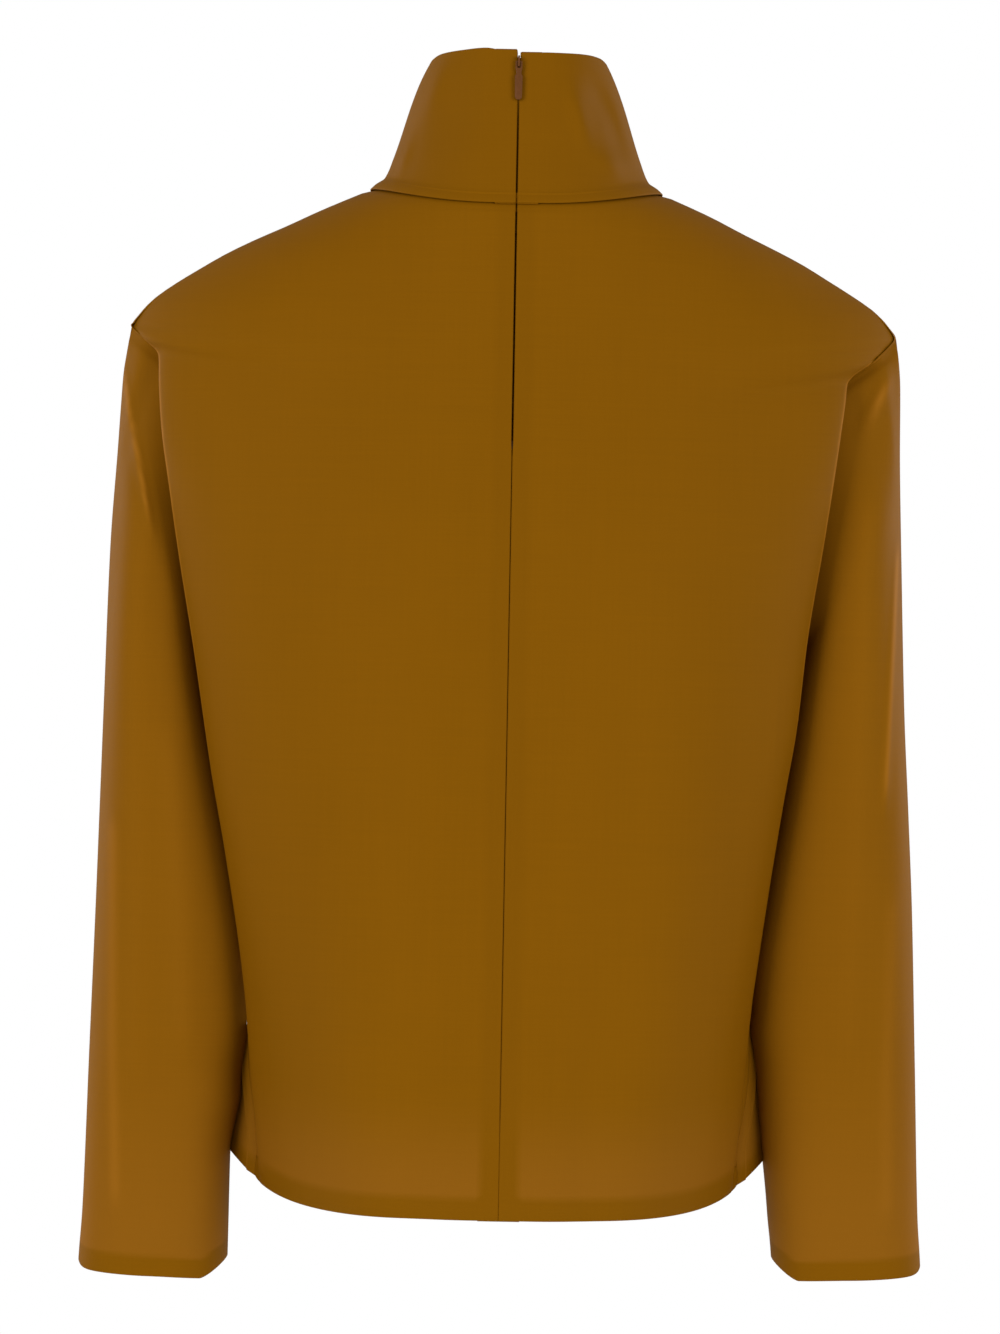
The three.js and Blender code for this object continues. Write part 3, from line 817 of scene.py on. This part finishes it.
class BLOUSE_OT_body(Maker):
    """Makes the front panel and the two back panels"""

    bl_idname = "blouse.body"
    bl_label = "Body Panels"

    def make(self):
        sizes = settings()
        hem, allowance = sizes.hem / MM, sizes.allowance / MM
        for side in (LEFT, RIGHT):
            cloth = Cloth(sided("back", side), back_panel_grid(side))
            cloth.pinch("right", side).sink("right", *SEAM_SINK).sink("top", *NECK_SINK)
            cloth.glint(fold_line(cloth.grid, side))
            cloth.lit("bottom", hem, 80).fold("bottom", hem, hem=True)
            cloth.fold("left", allowance, hem=True)
            cloth.fold("right", TURNING).fold("top", TURNING)
            piece = cloth.build(cloth_look())
            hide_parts(sided("back_panel", side))
            sided("shoulder_pads", side)
            body_cut(side, 1)
        cloth = Cloth("front", front_panel_grid())
        cloth.pinch("left", LEFT).pinch("right", RIGHT)
        cloth.sink("left", *SEAM_SINK).sink("right", *SEAM_SINK).sink("top", *NECK_SINK)
        cloth.lit("bottom", hem, 80).fold("bottom", hem, hem=True)
        cloth.fold("left", TURNING).fold("right", TURNING).fold("top", TURNING)
        piece = cloth.build(cloth_look())
        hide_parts("front_panel")
        body_cut(LEFT, -1) + body_cut(RIGHT, -1)


SLEEVE_OUTER = {
    LEFT: curve(
        (85, SHOULDER), (99, 239.5), (115, 242), (161, 245.5), (223, 249), (316, 251), (378, 252.5),
        (440, 254), (533, 256.5), (626, 258.8), (-CUFF, CUFF_OUTER)),
    RIGHT: curve(
        (85, SHOULDER), (99, 239), (115, 240.5), (161, 242), (223, 244), (316, 247.3), (378, 251),
        (440, 254.5), (533, 258), (626, 261.3), (-CUFF, CUFF_OUTER + 3)),
}
SLEEVE_INNER = {
    LEFT: curve(
        (275, 187), (300, 185), (363, 173), (430, 160), (474, 154), (511, 153), (545, 159.5),
        (561, 160.6), (580, 164.8), (600, 168), (-CUFF, 168.5)),
    RIGHT: curve(
        (275, 180), (300, 176), (363, 168), (430, 158), (474, 153), (511, 152.5), (535, 156.7),
        (561, 160), (592, 164), (623, 167.5), (-CUFF, 171.5)),
}
SLEEVE_DEPTH = curve((85, 44), (200, 52), (300, 54), (430, 49), (530, 45), (-CUFF, 40))
SLEEVE_FORWARD = 22.0
SLEEVE_CORNERS = 0.74
CUFF_RISE = {LEFT: 0.0, RIGHT: 5.0}
CUFF_SLANT, CUFF_CUT, VENT_SPREAD = 4.0, 10.0, 1.6
CAP_TOP, CAP_FOOT, ARMPIT = -85.0, -275.0, -300.0
SLEEVE_COLUMNS = 168


def armhole_loop(side, angle):
    """The seam of the armhole: angle 0 is the shoulder tip, then down the back and up the front."""
    drop = lerp(TIP_DROP, ARMHOLE_DROP, (1 - np.cos(angle)) / 2)
    back = body_points(side, drop, edge_angle(side, drop, BACK_EDGE))
    front = body_points(side, drop, edge_angle(side, drop, FRONT_EDGE))
    return np.where((np.sin(angle) > 0)[..., None], back, front)


def sleeve_ring(side, outer_height, inner_height, angle):
    outer = SLEEVE_OUTER[side](-outer_height)
    inner = SLEEVE_INNER[side](-inner_height)
    height = (outer_height + inner_height) / 2
    flat = lerp(1, SLEEVE_CORNERS, smoothstep(-height, 150, 330))
    swing = signed_power(np.cos(angle), flat)
    x = (outer + inner) / 2 + (outer - inner) / 2 * swing
    z = height + (outer_height - inner_height) / 2 * swing
    y = -SLEEVE_FORWARD + SLEEVE_DEPTH(-height) * signed_power(np.sin(angle), flat)
    return np.stack([side * x, y + 0 * x, z + 0 * x], axis=-1)


def creases(points, side):
    """Raises the creases of a sleeve, and returns how sharply each point is creased, for the
    painted highlight along them.
    """
    sharp = np.zeros(points.shape[:2])
    for path, width, rise in CREASES[side]:
        lift = crease(points, side, np.array(path, float), width)
        points[..., 1] += rise * lift
        sharp = np.maximum(sharp, lift ** 4 * np.clip(7 / width - 0.5, 0, 1))
    return sharp


def crease(points, side, path, width):
    """How near the back of a sleeve lies to a path of (out, height) points."""
    here = np.stack([side * points[..., 0], points[..., 2]], axis=-1)
    nearest = np.full(here.shape[:-1], 1e9)
    for start, end in zip(path[:-1], path[1:]):
        step = end - start
        share = np.clip(((here - start) @ step) / (step @ step), 0, 1)
        gap = np.linalg.norm(here - start - share[..., None] * step, axis=-1)
        nearest = np.minimum(nearest, gap)
    low, high = path[:, 1].min(), path[:, 1].max()
    height = here[..., 1]
    ends = smoothstep(height, low - 15, low + 25) * (1 - smoothstep(height, high - 20, high + 10))
    behind = smoothstep(points[..., 1], -25, 0)
    return np.exp(-((nearest / width) ** 2)) * ends * behind


# The (out, height) points of each crease, its width and its rise.
CREASES = {
    LEFT: [
        ([(243, -106), (237, -139), (228, -178), (220, -215)], 2.6, 2.2),
        ([(232, -180), (234, -280), (226, -420), (228, -560)], 13, 2.4),
        ([(208, -330), (200, -430), (196, -540)], 12, 2.0),
        ([(242, -380), (240, -520), (236, -640)], 7, 1.2),
    ],
    RIGHT: [
        ([(236, -102), (226, -125), (217, -148)], 5, 3.0),
        ([(240, -205), (236, -300), (233, -380)], 3.0, 1.8),
        ([(222, -180), (216, -300), (214, -420), (212, -540)], 13, 2.2),
        ([(240, -420), (238, -540), (240, -640)], 9, 1.6),
    ],
}


def sleeve_grid(side):
    angle = np.linspace(math.pi, 3 * math.pi, SLEEVE_COLUMNS + 1)[None, :]
    share = stretches(0.0, (0.12, 12), (1.0, 36))[:, None]
    cap = sleeve_ring(
        side, lerp(CAP_TOP, ARMPIT, share), lerp(CAP_FOOT, ARMPIT, share), angle)
    seam = armhole_loop(side, angle) - sleeve_ring(side, CAP_TOP, CAP_FOOT, angle)
    cap = cap + seam * ((1 - smoothstep(share, 0, 0.5)) ** 1.5)[..., None]
    cuff = CUFF + CUFF_RISE[side]
    heights = stretches(ARMPIT, (cuff + 60, 70), (cuff, 24))[1:, None]
    arm = sleeve_ring(side, heights, heights, angle)
    grid = np.concatenate([cap, arm])
    low = smoothstep(-grid[..., 2], -cuff - 40, -cuff)
    swing = np.cos(angle)
    slant = CUFF_SLANT * (np.clip((swing + 0.6) / 1.6, 0, 1) + np.clip(swing, 0, 1) ** 14)
    cut = CUFF_CUT * np.clip((-swing - 0.6) / 0.4, 0, 1) ** 1.3
    grid[..., 2] += low * (slant + cut)
    spread = settings().seam_gap / MM + VENT_SPREAD * smoothstep(
        -grid[..., 2], -CUFF - settings().vent / MM, -CUFF)
    grid[:, 0, 1] -= spread[:, 0]
    grid[:, -1, 1] += spread[:, -1]
    return grid


def ring_middles(grid):
    return np.mean(grid, axis=1, keepdims=True)


class BLOUSE_OT_sleeves(Maker):
    """Makes the two sleeves, with their hems and the vents at the underarm seam"""

    bl_idname = "blouse.sleeves"
    bl_label = "Sleeves"

    def make(self):
        hem = settings().hem / MM
        for side in (LEFT, RIGHT):
            cloth = Cloth(sided("sleeve_cloth", side), sleeve_grid(side), ring_middles)
            cloth.glint(creases(cloth.grid, side)).pinch("top", side)
            cloth.lit("bottom", hem, 150)
            # painted light: every part of the sleeve is drawn a little lighter, most near the cuff
            cloth.glow = lerp(0.3, 1, cloth.glow)
            cloth.fold("bottom", hem, hem=True)
            cloth.fold("left", TURNING).fold("right", TURNING)
            piece = cloth.build(cloth_look())
            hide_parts(sided("sleeve", side))
            sided("back", side)
            sleeve_cut(side)


COLLAR_HALF = curve(
    (0, 90.5), (3, 87.5), (7, 82), (20, 76.8), (60, 64.8), (72, 60.4), (82, 55.5), (90, 50.5))
COLLAR_COLUMNS = 150
COLLAR_OVERLAP, FOOT_ROLL = 1.2, 1.6
COLLAR_FRONT = (65.5, 50.0)  # how far forward the collar stands, at its foot and its rim
STIFFENER_FOOT, STIFFENER_TOP = 9, 3  # how far the inner layers stop short of the seam and rim
LINING_FOOT, LINING_TOP = 6, 1
RIM_DIP = {
    LEFT: curve((0, 1.0), (0.15, 0.2), (0.5, 1.0), (0.8, 1.8), (0.93, 3.5), (1, 6.5)),
    RIGHT: curve((0, 2.6), (0.3, 2.4), (0.7, 1.8), (0.85, 2.2), (0.95, 4.0), (1, 7.5)),
}


def collar_grid(inset, edge_gap, foot=0.0, top=0.0):
    """The collar from its rim down, running round from the left of the zip to the right."""
    share = stretches(0.0, (0.1, 8), (0.85, 22), (1.0, 14))[::-1, None]
    angle = stretches(0.0, (math.pi, COLLAR_COLUMNS // 2))[None, :]
    halves = []
    for side in (LEFT, RIGHT):
        out = np.abs(np.sin(angle))
        facing = np.cos(angle)
        base = neck_height(out, facing) - COLLAR_OVERLAP
        rim = RIM - RIM_DIP[side](out)
        height = lerp(base + foot, rim - top, share)
        level = (height - base) / (rim - base)
        rise = level * (RIM - NECK_SIDE)
        half = COLLAR_HALF(rise) - inset
        roll = FOOT_ROLL * (1 - smoothstep(rise, 0, 7))
        back = zip_line(lerp(NECK_BACK, RIM, level)) - inset + roll
        front = lerp(*COLLAR_FRONT, level) - inset
        y = np.where(facing > 0, back, front) * facing
        x = FLAT + (half - FLAT) * out
        points = np.stack([side * x, y, height + 0 * y], axis=-1)
        halves.append(dented(points, side))
    start = halves[0][:, :1].copy()
    gap = seam_gap(start[..., 2:3]) + edge_gap
    flat = lerp(gap, FLAT, np.linspace(0, 1, 7)[None, :-1, None])
    columns = []
    for side, half in ((LEFT, halves[0]), (RIGHT, halves[1])):
        strip = np.repeat(half[:, :1], 6, axis=1)
        strip[..., 0:1] = side * flat
        columns.append(np.concatenate([strip, half], axis=1))
    return np.concatenate([columns[0], columns[1][:, ::-1]], axis=1)


DENTS = {
    LEFT: [((70, 18), (4, 12), 3.4), ((40, 40), (16, 30), -3.0), ((52, 62), (7, 16), 2.6)],
    RIGHT: [((50, 54), (8, 15), -5.0), ((38, 42), (6, 18), 3.6), ((60, 36), (6, 18), -4.4),
            ((58, 15), (9, 8), 3.6), ((24, 20), (14, 14), -1.0)],
}


def dented(points, side):
    """Soft dents in the back of the collar: (place), (width, height), rise."""
    x, z = side * points[..., 0], points[..., 2]
    for (out, height), (width, tall), rise in DENTS[side]:
        lean = (z - height) * -0.28
        bump = np.exp(-((x - out - lean) / width) ** 2 - ((z - height) / tall) ** 2)
        points[..., 1] += rise * bump * (points[..., 1] > 0)
    return points


class BLOUSE_OT_collar(Maker):
    """Makes the collar's outer cloth, its stiffener and its facing"""

    bl_idname = "blouse.collar"
    bl_label = "Collar"

    def make(self):
        sizes = settings()
        allowance = sizes.allowance / MM
        outer = Cloth("collar", collar_grid(0, sizes.fold / MM))
        outer.double[:] = 1  # the stiffener behind lets no light through, so the collar gets the painted shade of double cloth
        outer.fold("left", allowance).fold("right", allowance).fold("bottom", 6).fold("top", 2)
        piece = outer.build(cloth_look())
        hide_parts("collar_outer")
        collar_cut(NECK_BACK, RIM)
        stiff = Cloth("collar_stiffener", collar_grid(1.5, 14.4, STIFFENER_FOOT, STIFFENER_TOP))
        stiffener = stiff.build(look("stiffener", lambda: woven(
            "stiffener_weave", colours().wadding, 500.0, 500.0)), thickness=0.0004)
        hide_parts("collar_interlining")
        collar_cut(NECK_BACK + STIFFENER_FOOT, RIM - STIFFENER_TOP)
        lining = Cloth("collar_lining", collar_grid(2.5, 6.5, LINING_FOOT, LINING_TOP))
        lining.fold("bottom", 4).fold("left", 4).fold("right", 4).fold("top", 2)
        facing = lining.build(cloth_look())
        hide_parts("collar_facing")
        collar_cut(NECK_BACK + LINING_FOOT, RIM - LINING_TOP)


def copied(node, name):
    """A new piece with the shape of a frame node, so that its mesh can be worked on."""
    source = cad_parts[node]
    mesh = source.data.copy()
    mesh.transform(source.matrix_world)
    return link(bpy.data.objects.new(name, mesh))


class BLOUSE_OT_pads(Maker):
    """Makes the shoulder pads"""

    bl_idname = "blouse.pads"
    bl_label = "Shoulder Pads"

    def make(self):
        for side in (LEFT, RIGHT):
            node = sided("shoulder_pad", side)
            piece = copied(node, sided("shoulder_pads", side))
            soften(piece)
            tuck_under(piece, [sided("back", side), "front"], 1.2 * MM)
            finish_piece(piece, look("wadding", wadding_look), GARMENT)
            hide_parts(node)


def soften(piece):
    """Rounds a pad's edges: remeshed fine, then smoothed and drawn in a little."""
    modify(piece, "REMESH", mode="VOXEL", voxel_size=2 * MM)
    modify(piece, "SMOOTH", iterations=6, factor=0.5)
    modify(piece, "DISPLACE", mid_level=0, strength=-0.3 * MM)
    apply_modifiers(piece)


def tuck_under(piece, covers, gap):
    """Moves the surface of a piece inside the cloth round it, by at least a gap."""
    points = [v.co for v in piece.data.vertices]
    core = sum(points, Vector()) / len(points)
    trees = []
    for name in covers:
        cover = bpy.data.objects[name].data
        corners = [v.co for v in cover.vertices]
        trees.append(BVHTree.FromPolygons(corners, [f.vertices for f in cover.polygons]))
    for tree in trees * 3:
        for vertex in piece.data.vertices:
            near, normal, _, _ = tree.find_nearest(vertex.co)
            if normal.dot(near - core) < 0:
                normal = -normal
            over = (vertex.co - near).dot(normal) + gap
            if over > 0:
                vertex.co -= normal * over


class BLOUSE_OT_label(Maker):
    """Makes the blank care label inside the left side seam"""

    bl_idname = "blouse.label"
    bl_label = "Care Label"

    def make(self):
        low, high = box_mm("care_label")
        z = np.linspace(high[2], low[2], 24)[:, None]
        y = np.linspace(low[1], high[1], 13)[None, :]
        sway = 1.5 * np.sin((high[2] - z) / (high[2] - low[2]) * math.pi) ** 2
        x = low[0] - 3 - sway + 0.02 * y + 0 * z
        grid = np.stack([x, y + 0 * z, z + 0 * y], axis=-1)
        satin = look("label", lambda: woven("label_satin", colours().label, 900.0, 300.0, 0.45))
        piece = Cloth("care_tag", grid).build(satin, thickness=0.00025)
        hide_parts("care_label")


# --- The zip ---


TAPE_LENGTH, TAPE_WIDTH, TAPE_TOP = 268.0, 13.0, -2.0
COIL_TOP, COIL_FOOT = -4.9, -244.5
COIL_PITCH, COIL_WIRE = 1.35, 0.27
COIL_SIDES = 6


def zip_points(local):
    """From the zip's own frame, with Y out of the back and Z up the zip, into the garment's."""
    x, y, z = np.moveaxis(np.asarray(local, float), -1, 0)
    ahead = y * math.cos(LEAN_ANGLE) - z * math.sin(LEAN_ANGLE)
    up = y * math.sin(LEAN_ANGLE) + z * math.cos(LEAN_ANGLE)
    return np.stack([x, RIM_BACK + ahead, RIM + up], axis=-1)


def tube(path, radius, sides=COIL_SIDES):
    """A closed tube along a path of points, as points and faces."""
    tangent = unit(np.gradient(path, axis=0))
    guide = unit(np.cross(tangent, [0.0, 0.3, 1.0]))
    other = np.cross(tangent, guide)
    turn = np.linspace(0, 2 * math.pi, sides, endpoint=False)
    turn = turn[None, :, None]
    ring = np.cos(turn) * guide[:, None] + np.sin(turn) * other[:, None]
    points = (path[:, None] + radius * ring).reshape(-1, 3)
    index = np.arange(len(points)).reshape(-1, sides)
    after = np.roll(index, -1, axis=1)
    faces = np.stack([index[:-1], after[:-1], after[1:], index[1:]], -1).reshape(-1, 4).tolist()
    faces += [index[0][::-1].tolist(), index[-1].tolist()]
    return points, faces


class BLOUSE_OT_zip(Maker):
    """Makes the zip: tapes, coils, stops, slider and pull"""

    bl_idname = "blouse.zip"
    bl_label = "Zip"

    def make(self):
        tape = look("tape", lambda: woven("tape_weave", colours().tape, 520.0, 700.0))
        metal = look("metal", enamel)
        for side in (LEFT, RIGHT):
            self.tape(side, tape)
            self.coil(side)
            stop = sided("top_stop", side)
            self.hardware("zipper_" + stop, stop, metal)
        self.hardware("zipper_bottom_stop", "bottom_stop", metal)
        self.hardware("zipper_slider", "slider_body", metal, SLIDER)
        self.hardware("zipper_pull", "pull_tab", metal, PULL, 0.26)

    def tape(self, side, tape):
        z = np.linspace(TAPE_TOP, -TAPE_LENGTH, 90)[:, None]
        x = side * np.linspace(0.85, 0.85 + TAPE_WIDTH, 12)[None, :]
        depth = -1.55 + 0 * x * z
        local = np.stack([x + 0 * z, depth, z + 0 * x], axis=-1)
        name = sided("zip_tape", side)
        piece = Cloth(name, zip_points(local)).build(tape, thickness=0.0004)
        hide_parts(sided("zipper_tape", side))
        sided("back", side)

    def coil(self, side):
        turns = (COIL_TOP - COIL_FOOT) / COIL_PITCH
        turn = np.linspace(0, turns * 2 * math.pi, int(turns * 14))
        middle, reach = 1.7, 0.9 - COIL_WIRE
        x = side * (middle - reach * np.cos(turn))
        y = -3.2 + reach * np.sin(turn)
        z = COIL_TOP - COIL_WIRE - (turn / (2 * math.pi)) * COIL_PITCH * 0.998
        path = zip_points(np.stack([x, y, z], axis=-1))
        points, faces = tube(path, COIL_WIRE)
        name = sided("zip_coil", side)
        piece = new_mesh(name, points * MM, faces)
        finish_piece(piece, look("nylon", nylon), GARMENT, 80)
        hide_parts(sided("zipper_coil", side))

    def hardware(self, node, name, metal, body=GARMENT, rounding=0.14):
        """The frame's own part with its edges rounded over."""
        piece = copied(node, name)
        modify(piece, "WELD", merge_threshold=0.002 * MM)
        modify(piece, "BEVEL", width=rounding * MM, segments=3, limit_method="ANGLE",
               angle_limit=math.radians(35))
        apply_modifiers(piece)
        finish_piece(piece, metal, body, 40)
        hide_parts(node)


# --- The stage ---


class BLOUSE_OT_stage(Maker):
    """Makes the floor, the surround, the lights and the camera"""

    bl_idname = "blouse.stage"
    bl_label = "Stage"

    def make(self):
        self.floor()
        self.surround()
        self.lights()
        self.camera()

    def floor(self):
        height, radius = -0.95, 1.2
        turn = np.linspace(0, 2 * math.pi, 96, endpoint=False)
        edge = np.stack([radius * np.cos(turn), radius * np.sin(turn), height + 0 * turn], -1)
        mesh = bpy.data.meshes.new("floor")
        mesh.from_pydata(edge.tolist(), [], [list(range(96))])
        floor = link(bpy.data.objects.new("floor", mesh))
        paint = Shader("floor_paint", roughness=0.9)
        mottle = paint.noise(4.0)
        tone = paint.mixed(mottle, (0.86, 0.86, 0.85, 1), (0.9, 0.9, 0.89, 1))
        mesh.materials.append(paint.finish(tone))

    def surround(self):
        world = bpy.data.worlds.new("surround")
        world.use_nodes = True
        nodes, links = world.node_tree.nodes, world.node_tree.links
        light = nodes["Background"]
        light.inputs["Color"].default_value = (1.0, 1.0, 1.0, 1.0)
        light.inputs["Strength"].default_value = bpy.context.scene.blouse_stage.sky
        seen = nodes.new("ShaderNodeBackground")
        seen.inputs["Color"].default_value = (1.0, 1.0, 1.0, 1.0)
        path = nodes.new("ShaderNodeLightPath")
        mix = nodes.new("ShaderNodeMixShader")
        links.new(path.outputs["Is Camera Ray"], mix.inputs[0])
        links.new(light.outputs[0], mix.inputs[1])
        links.new(seen.outputs[0], mix.inputs[2])
        links.new(mix.outputs[0], nodes["World Output"].inputs[0])
        bpy.context.scene.world = world
        bpy.context.scene.view_settings.view_transform = "Standard"

    def lights(self):
        stage = bpy.context.scene.blouse_stage
        for name, place, power in (
                ("left_light", (2.0, 2.4, 0.4), stage.key),
                ("right_light", (-2.0, 2.4, 0.2), stage.key * 0.85),
                ("left_rim", (2.2, -1.2, 0.2), stage.fill),
                ("right_rim", (-2.2, -1.2, 0.2), stage.fill)):
            self.light(name, place, (0.0, 0.0, stage.height), power)

    def light(self, name, place, target, power):
        lamp = bpy.data.lights.new(name, "AREA")
        lamp.size = 1.6
        lamp.energy = power
        holder = link(bpy.data.objects.new(name, lamp))
        holder.location = place
        aim = [t - p for t, p in zip(target, place)]
        holder.rotation_euler = look_along(aim)

    def camera(self):
        stage = bpy.context.scene.blouse_stage
        camera = bpy.data.cameras.new("camera")
        camera.sensor_width = 36
        camera.lens = camera.sensor_width * stage.distance / stage.view_height
        camera.clip_end = 50
        holder = link(bpy.data.objects.new("camera", camera))
        holder.location = (stage.aside, stage.distance, stage.height)
        holder.rotation_euler = (math.pi / 2, stage.roll, math.pi)
        bpy.context.scene.camera = holder


def look_along(direction):
    x, y, z = direction
    flat = math.hypot(x, y)
    return (math.pi / 2 + math.atan2(z, flat), 0, math.atan2(y, x) - math.pi / 2)


# --- Panel and registration ---


OPERATORS = (
    BLOUSE_OT_stage, BLOUSE_OT_body, BLOUSE_OT_sleeves, BLOUSE_OT_collar, BLOUSE_OT_pads,
    BLOUSE_OT_label, BLOUSE_OT_zip,
)


class BLOUSE_PT_panel(bpy.types.Panel):
    """Lists the blouse's pieces in the sidebar"""

    bl_idname = "BLOUSE_PT_panel"
    bl_label = "Blouse"
    bl_space_type = "VIEW_3D"
    bl_region_type = "UI"
    bl_category = "Blouse"

    def draw(self, context):
        for group in (context.scene.blouse_sizes, context.scene.blouse_colours,
                      context.scene.blouse_stage):
            for name in group.__annotations__:
                self.layout.prop(group, name)
        for operator in OPERATORS:
            self.layout.operator(operator.bl_idname)


CLASSES = (BlouseSizes, BlouseColours, BlouseStage, *OPERATORS, BLOUSE_PT_panel)


def register():
    for cls in CLASSES:
        bpy.utils.register_class(cls)
    bpy.types.Scene.blouse_sizes = bpy.props.PointerProperty(type=BlouseSizes)
    bpy.types.Scene.blouse_colours = bpy.props.PointerProperty(type=BlouseColours)
    bpy.types.Scene.blouse_stage = bpy.props.PointerProperty(type=BlouseStage)


def unregister():
    del bpy.types.Scene.blouse_stage
    del bpy.types.Scene.blouse_colours
    del bpy.types.Scene.blouse_sizes
    for cls in reversed(CLASSES):
        bpy.utils.unregister_class(cls)


def main():
    register()
    for operator in OPERATORS:
        group, name = operator.bl_idname.split(".")
        getattr(getattr(bpy.ops, group), name)()


if __name__ == "__main__":
    main()
